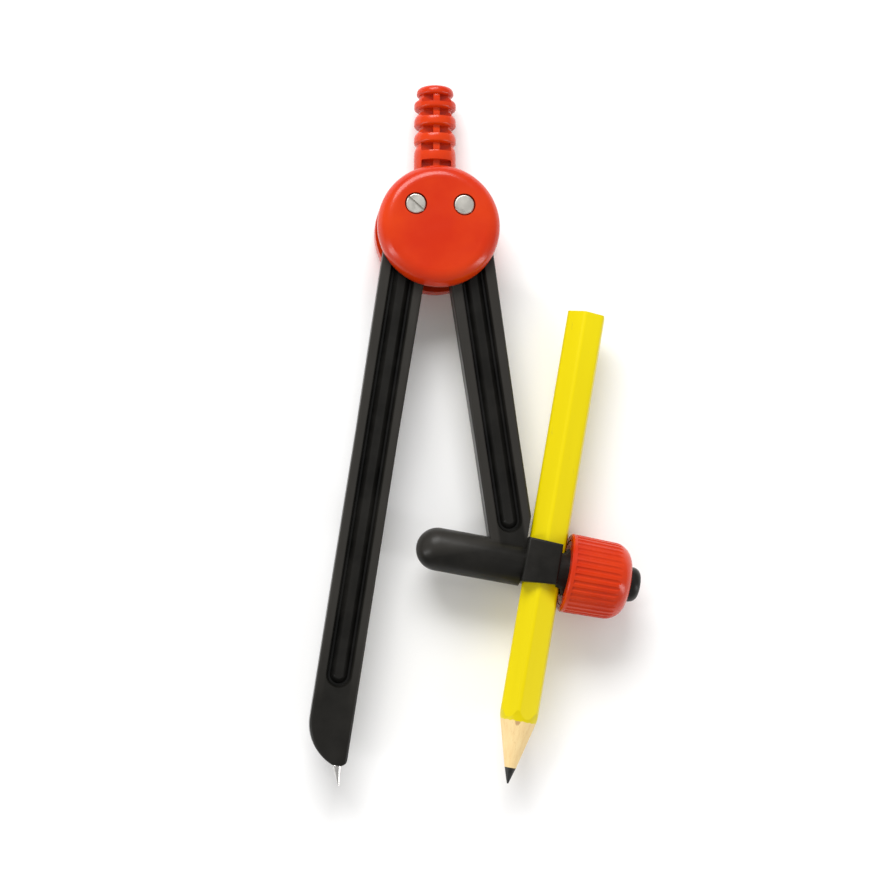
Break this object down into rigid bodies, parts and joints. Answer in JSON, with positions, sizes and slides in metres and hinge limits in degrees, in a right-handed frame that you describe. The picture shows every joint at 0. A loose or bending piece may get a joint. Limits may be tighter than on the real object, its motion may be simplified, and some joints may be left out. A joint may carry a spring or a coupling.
{
  "type": "drawing compass",
  "caption": "School drawing compass with a ribbed grip, a geared pair of legs, a steel needle point and a screw clamp that holds a hexagonal pencil.",
  "frame": {"origin": "midway between the two leg pivots, on the flat back of the head", "axes": "+Y along the object towards the finger grip, +X towards the pencil, +Z out of the front of the head; the compass lies on its back"},
  "size_m": [0.065, 0.1396, 0.0156],
  "materials": {
    "red_plastic": "glossy orange-red moulded plastic",
    "black_plastic": "satin black moulded plastic",
    "plated_steel": "nickel-plated turned steel",
    "spring_steel": "plain spring steel",
    "needle_steel": "polished steel",
    "brass": "turned brass",
    "pencil_wood": "yellow lacquer, bare wood at the sharpened end",
    "pencil_lead": "graphite"
  },
  "bodies": {
    "head": {"rear_cap": "red_plastic", "front_cap": "red_plastic", "left_pivot_screw": "plated_steel", "left_sleeve_nut": "plated_steel", "right_pivot_screw": "plated_steel", "right_sleeve_nut": "plated_steel", "left_front_washer": "plated_steel", "right_front_washer": "plated_steel", "left_spring_washer": "spring_steel", "right_spring_washer": "spring_steel"},
    "needle_arm": {"needle_leg": "black_plastic", "needle": "needle_steel"},
    "holder_arm": {"holder_leg": "black_plastic", "eye_bolt": "black_plastic"},
    "sleeve": {"pressure_sleeve": "red_plastic"},
    "knob": {"clamp_knob": "red_plastic", "knob_nut": "brass"},
    "pencil": {"pencil_front_slat": "pencil_wood", "pencil_rear_slat": "pencil_wood", "pencil_lead": "pencil_lead"}
  },
  "joints": [
    {"name": "holder_leg_swing", "type": "hinge", "parent": "head", "child": "holder_arm", "pos_m": [0.0048, 0, 0.0078], "axis": [0, 0, 1], "range_deg": [-2.3, 37]},
    {"name": "needle_leg_swing", "type": "hinge", "parent": "head", "child": "needle_arm", "pos_m": [-0.0048, 0, 0.0078], "axis": [0, 0, 1], "range_deg": [-37, 2.3]},
    {"name": "pencil_slide", "type": "slide", "parent": "holder_arm", "child": "pencil", "axis": [0.1693, 0.9856, 0], "range_m": [-0.025, 0.025]},
    {"name": "sleeve_slide", "type": "slide", "parent": "holder_arm", "child": "sleeve", "axis": [0.9856, -0.1693, 0], "range_m": [0, 0.0021]},
    {"name": "knob_turn", "type": "hinge", "parent": "sleeve", "child": "knob", "pos_m": [0.0214, -0.0713, 0.0078], "axis": [0.9856, -0.1693, 0], "range_deg": [0, 360]}
  ],
  "couplings": [
    {"joint": "needle_leg_swing", "follows": "holder_leg_swing", "ratio": -1},
    {"joint": "sleeve_slide", "follows": "knob_turn", "m_per_rad": 0.00031831}
  ]
}
